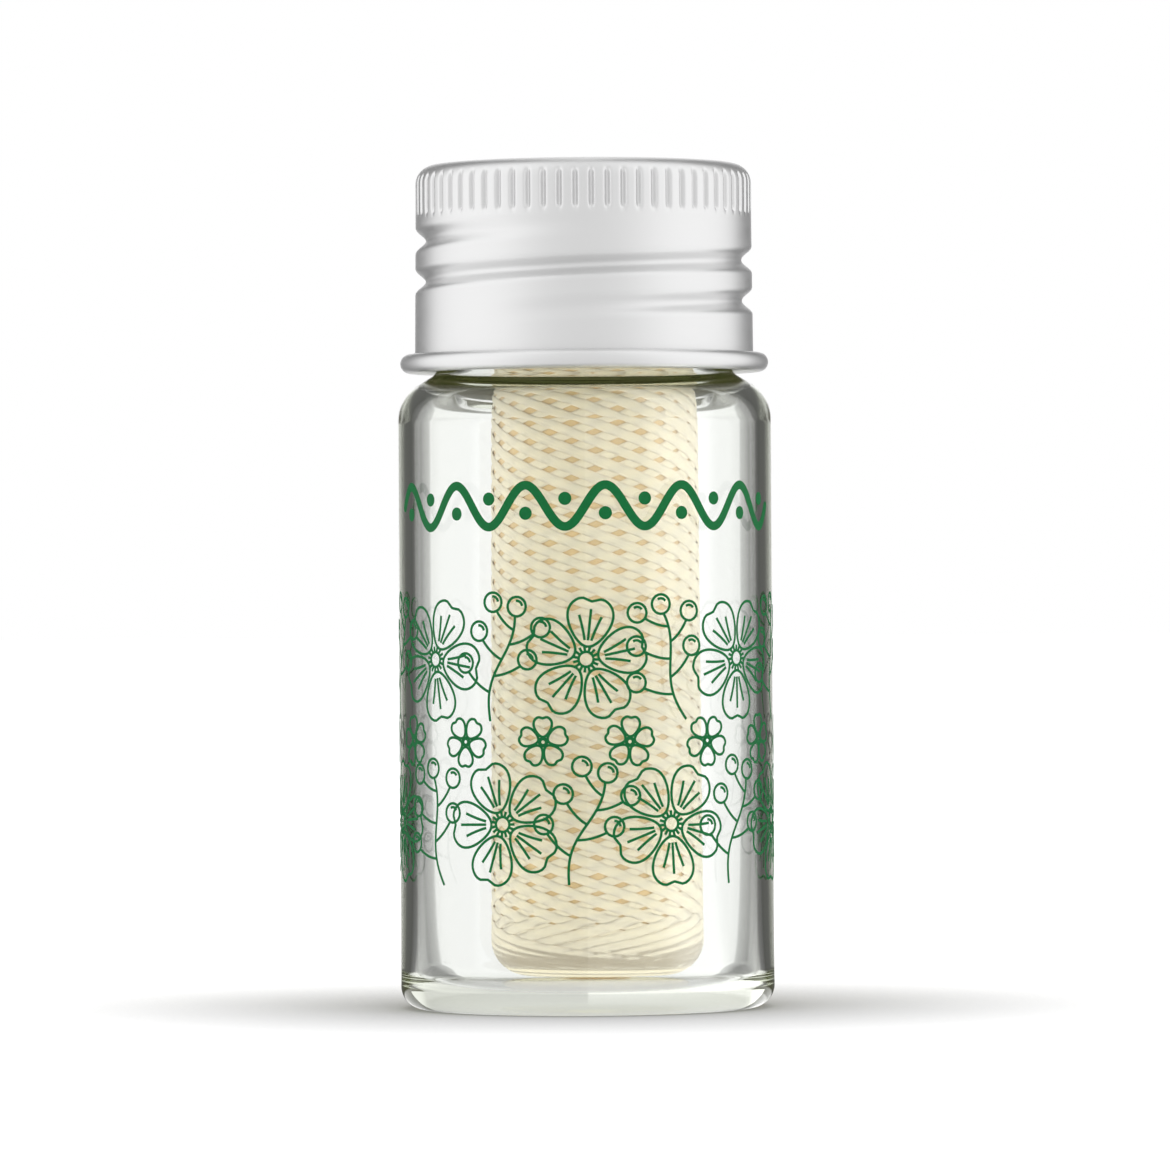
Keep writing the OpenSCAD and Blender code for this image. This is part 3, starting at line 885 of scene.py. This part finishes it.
def blossom(size, petals=5, veins=True):
    """Lines of an open flower with notched petals, round its own middle."""
    lines = [loop(size * 0.12, steps=16)]
    for k in range(petals):
        petal = []
        for t in np.linspace(0, TURN, 41):
            notch = 0.08 * math.exp(-(((t - math.pi) / 0.25) ** 2))
            x = 0.6 - 0.4 * math.cos(t) - notch
            y = 0.35 * math.sin(t) * (1 - 0.3 * math.cos(t))
            petal.append((size * x, size * y))
        lines.append(turned_by(petal, TURN * k / petals, 0, 0))
        for lean in (-0.22, 0, 0.22) if veins else ():
            vein = [(size * q, size * q * lean * (0.5 + q)) for q in np.linspace(0.3, 0.8 - abs(lean) / 2, 8)]
            lines.append(turned_by(vein, TURN * k / petals, 0, 0))
        for lean in (-0.4, 0.0, 0.4):
            stamen = [(size * q, 0) for q in (0.13, 0.17, 0.21)]
            lines.append(turned_by(stamen, TURN * (k + 0.5) / petals + lean, 0, 0))
    return lines


def berry_sprig(size):
    """Lines of a curved stem with round berries on short stalks, round its own middle."""
    def stem(q):
        return (size * 0.12 * math.sin(3 * q), size * q)

    lines = [[stem(q) for q in np.linspace(-1, 0.72, 24)]]
    berry = size * 0.155
    for i, q in enumerate((-0.55, -0.28, 0.0, 0.26, 0.5)):
        side = 1 if i % 2 else -1
        foot = stem(q)
        reach = size * (0.4 - 0.1 * q)
        tip = (foot[0] + side * reach, foot[1] + size * 0.24)
        bend = (foot[0] + side * reach * 0.5, foot[1] + size * 0.05)
        lines.append([
            tuple((1 - t) ** 2 * a + 2 * t * (1 - t) * b + t ** 2 * c for a, b, c in zip(foot, bend, tip))
            for t in np.linspace(0, 1, 8)
        ])
        lines += berry_lines((tip[0] + side * berry * 0.6, tip[1] + berry * 0.8), berry)
    top = stem(0.72)
    return lines + berry_lines((top[0], top[1] + berry), berry)


def berry_lines(middle, radius):
    """A round berry with a short shine line inside."""
    shine = [(radius * 0.6 * math.cos(a), radius * 0.6 * math.sin(a)) for a in np.linspace(0.3, 1.9, 7)]
    return [turned_by(points, 0, *middle) for points in (loop(radius, steps=20), shine)]


class FLOSS_OT_print(bpy.types.Operator):
    """Print the wave, the flowers and the sprigs on the glass"""

    bl_idname = "floss.print"
    bl_label = "Print"

    def execute(self, context):
        ink = settings("print")
        material = green_ink()
        piece("print_wave", mesh_of(self.wave(ink), flat=True), material, "jar", "glass")
        piece("print_flowers", mesh_of(self.flowers(ink), flat=True), material, "jar", "glass")
        return {"FINISHED"}

    def wave(self, ink):
        """A running wave with a dot in each hollow."""
        period, height, waves = 5.64 * MM, 1.45 * MM, 6
        end = period * waves / 2
        points = [
            (s, ink.wave_z + height * math.sin(TURN * s / period))
            for s in np.linspace(-end, end, 40 * waves)
        ]
        skins = [stroke(points, ink.stroke, ink.film)]
        skins += [dot(*points[i], ink.stroke / 2, ink.film) for i in (0, -1)]
        for k in range(2 * waves):
            s = -end + period * (k + 0.5) / 2
            side = 1 if k % 2 else -1
            skins.append(dot(s, ink.wave_z + side * height * 0.35, ink.stroke * 0.75, ink.film))
        return skins

    def flowers(self, ink):
        """Two staggered rows of flowers and sprigs, with small blossoms between the rows."""
        radius = JAR_HIGH.x
        limit = radius * ink.reach
        step = 12.2 * MM
        large, small, sprig = 4.4 * MM, 1.8 * MM, 4.4 * MM
        middle = (ink.flower_low + ink.flower_high) / 2
        chance = random.Random(4)
        motifs = []
        for k in range(-4, 5):
            s = k * step / 2
            high_flower = k % 2 == 0
            rows = ((ink.flower_high, high_flower), (ink.flower_low, not high_flower))
            for z, is_flower in rows:
                if is_flower:
                    motifs.append((blossom(large), chance.uniform(0, 1.2), s, z, large))
                else:
                    motifs.append((berry_sprig(sprig), chance.uniform(-0.35, 0.35), s, z, sprig * 0.6))
            motifs.append((blossom(small, veins=False), chance.uniform(0, 1.2), s + step / 4, middle, small))
        return [
            stroke(turned_by(points, angle, s, z), ink.line, ink.film)
            for lines, angle, s, z, size in motifs if abs(s) + size < limit
            for points in lines
        ]


# Stage

def round_the_object(tree, place, aside=0.0):
    """Brightness of the studio by direction: white behind the object, dark beside that, then bright sides.

    The dark part draws the edges of the glass. place is a direction, or a place on the floor, where the
    directions are counted from a line that lies aside of the object's middle."""
    parts = node(tree, "SeparateXYZ", {0: place})
    # Angle from straight behind the object, 0, round to the camera's side, 1
    beside = maths(tree, "SUBTRACT", maths(tree, "ABSOLUTE", parts), aside)
    angle = maths(tree, "ARCTAN2", maths(tree, "MAXIMUM", beside, 0.0), parts.outputs["Y"])
    share = maths(tree, "MULTIPLY", angle, 1 / math.pi)
    ramp = node(tree, "ValToRGB", {0: share})
    stops = [
        (0, 1.08), (11.3, 1.08), (12.1, 0.55), (17, 0.14), (45, 0.1), (57, 1.12),
        (82, 1.2), (124, 1.2), (142, 1.0), (156, 0.88), (180, 0.84),
    ]
    elements = ramp.color_ramp.elements
    while len(elements) < len(stops):
        elements.new(1.0)
    for element, (degrees, grey) in zip(elements, stops):
        element.position = degrees / 180
        element.color = (grey, grey, grey, 1.0)
    # Glass mirrors the dark place where the camera stands, which the satin metal blurs away
    camera_side = map_range(
        tree, share, 130 / 180, 150 / 180, 1.0, 0.1, interpolation_type="SMOOTHSTEP"
    )
    rays = node(tree, "LightPath").outputs
    # Seen through the glass, that place is as bright as the ramp says
    camera_place = maths(tree, "MAXIMUM", camera_side, rays["Is Transmission Ray"])
    # It also mirrors a stronger lamp in the soft side to the right
    right = maths(tree, "GREATER_THAN", parts, 0.0)
    lamp = map_range(tree, share, 88 / 180, 100 / 180, interpolation_type="SMOOTHSTEP")
    sharp = maths(tree, "MULTIPLY", camera_place, maths(tree, "MULTIPLY_ADD", right, lamp, 1.0))
    mirrored = node(tree, "VectorMath", {0: ramp, 1: sharp}, operation="MULTIPLY")
    light = node(tree, "Mix", {0: rays["Is Singular Ray"], 6: ramp, 7: mirrored}, data_type="RGBA")
    return light.outputs[2]


def studio_world():
    """The studio round the object, and plain white where the camera looks past it."""
    world = bpy.data.worlds.new("studio")
    bpy.context.scene.world = world
    world.use_nodes = True
    tree = world.node_tree
    tree.nodes.clear()
    light = round_the_object(tree, node(tree, "TexCoord").outputs["Generated"])
    seen = node(tree, "LightPath").outputs["Is Camera Ray"]
    studio = node(tree, "Background", {"Color": light, "Strength": 1.0})
    white = node(tree, "Background", {"Color": (1, 1, 1, 1), "Strength": 1.0})
    node(tree, "OutputWorld", {"Surface": mix_shaders(tree, seen, studio, white)})


def white_floor():
    """White paper sweep: matt, with its own white added where it is seen, so that only the shadow shows.

    Seen in glass or metal it takes the studio's brightness in that direction, and it lights the object."""
    stage = settings("stage")
    material, tree, place = new_material("white_paper_sweep")
    # Only rays that meet the floor find its light, which differs by the kind of ray
    material.cycles.emission_sampling = "NONE"
    rays = node(tree, "LightPath").outputs
    away = node(tree, "VectorMath", {0: place}, operation="LENGTH").outputs["Value"]
    far = map_range(tree, away, stage.white_from, stage.white_at)
    paper = node(tree, "BsdfDiffuse", {"Color": (0.25, 0.25, 0.25, 1), "Roughness": 1.0})
    # Close to the object less of the soft light reaches the paper
    open_to_light = node(tree, "AmbientOcclusion", {"Distance": stage.contact}, samples=8)
    shadow = maths(tree, "POWER", open_to_light.outputs["AO"], 2.5)
    # The sweep is lit from above beyond the object, so that it stays white far away
    lit = maths(tree, "MULTIPLY", map_range(tree, far, 0, 1, 0.68, 0.9), shadow)
    glow = node(tree, "Emission", {"Color": (1, 1, 1, 1), "Strength": lit})
    direct = node(tree, "AddShader", {0: paper, 1: glow})
    light = round_the_object(tree, place, JAR_HIGH.x * stage.edge_aside)
    # Under the jar the paper lies in its shade
    shade = map_range(tree, away, 9 * MM, 16 * MM, 0.8, 0.93)
    beyond = map_range(tree, away, 10 * MM, 14.5 * MM)
    level = node(tree, "Mix", {0: beyond, 6: shade, 7: light}, data_type="RGBA").outputs[2]
    mirrored = node(tree, "Emission", {"Color": level, "Strength": 0.97})
    through = maths(tree, "MAXIMUM", rays["Is Glossy Ray"], rays["Is Transmission Ray"])
    mixed = mix_shaders(tree, through, direct, mirrored)
    white = node(tree, "Emission", {"Color": (1, 1, 1, 1), "Strength": stage.floor_light})
    return finished(material, mix_shaders(tree, rays["Is Diffuse Ray"], mixed, white))


def soft_lamp(name, place, size, power):
    lamp = bpy.data.lights.new(name, "AREA")
    lamp.shape = "SQUARE"
    lamp.size = size
    lamp.energy = power
    made = add_object(name, lamp)
    made.location = place
    aim = Vector((0, 0, 0.03)) - Vector(place)
    made.rotation_euler = aim.to_track_quat("-Z", "Y").to_euler()
    # Metal and glass show the studio's soft sides, not the lamp
    made.visible_glossy = False
    made.visible_transmission = False


class FLOSS_OT_stage(bpy.types.Operator):
    """Build the floor, the light and the camera"""

    bl_idname = "floss.stage"
    bl_label = "Stage"

    def execute(self, context):
        stage = settings("stage")
        scene = context.scene
        scene.view_settings.view_transform = "Standard"
        reach = stage.floor_reach
        mesh = bpy.data.meshes.new("floor")
        corners = [(-reach, -reach, 0), (reach, -reach, 0), (reach, reach, 0), (-reach, reach, 0)]
        mesh.from_pydata(corners, [], [(0, 1, 2, 3)])
        mesh.materials.append(white_floor())
        add_object("floor", mesh)
        studio_world()
        soft_lamp("key", (0.6, -0.3, 0.3), stage.lamp_size, stage.key_power)
        soft_lamp("fill", (-0.6, -0.25, 0.3), stage.lamp_size, stage.fill_power)
        view = bpy.data.cameras.new("camera")
        view.sensor_width = 36
        view.lens = view.sensor_width * stage.distance / stage.view_width
        view.clip_start = 0.01
        camera = add_object("camera", view)
        camera.location = (stage.shift, -stage.distance, stage.height)
        camera.rotation_euler = (math.pi / 2, stage.roll, 0)
        scene.camera = camera
        return {"FINISHED"}


# Panel and run

GROUPS = {
    "floss_jar": JarSettings,
    "floss_cap": CapSettings,
    "floss_package": FlossSettings,
    "floss_print": PrintSettings,
    "floss_stage": StageSettings,
}
OPERATORS = (FLOSS_OT_stage, FLOSS_OT_jar, FLOSS_OT_cap, FLOSS_OT_insert, FLOSS_OT_package, FLOSS_OT_print)


class FLOSS_PT_panel(bpy.types.Panel):
    """Lists the steps and the sizes"""

    bl_label = "Floss jar"
    bl_idname = "FLOSS_PT_panel"
    bl_space_type = "VIEW_3D"
    bl_region_type = "UI"
    bl_category = "Floss Jar"

    def draw(self, context):
        for operator in OPERATORS:
            self.layout.operator(operator.bl_idname)
        for name, group in GROUPS.items():
            box = self.layout.box()
            for key in group.__annotations__:
                box.prop(getattr(context.scene, name), key)


def register():
    for cls in (*GROUPS.values(), *OPERATORS, FLOSS_PT_panel):
        bpy.utils.register_class(cls)
    for name, group in GROUPS.items():
        setattr(bpy.types.Scene, name, PointerProperty(type=group))


def unregister():
    for name in GROUPS:
        delattr(bpy.types.Scene, name)
    for cls in (FLOSS_PT_panel, *OPERATORS, *GROUPS.values()):
        bpy.utils.unregister_class(cls)


def main():
    register()
    bpy.ops.floss.stage()
    bpy.ops.floss.jar()
    bpy.ops.floss.cap()
    bpy.ops.floss.insert()
    bpy.ops.floss.package()
    bpy.ops.floss.print()


if __name__ == "__main__":
    main()
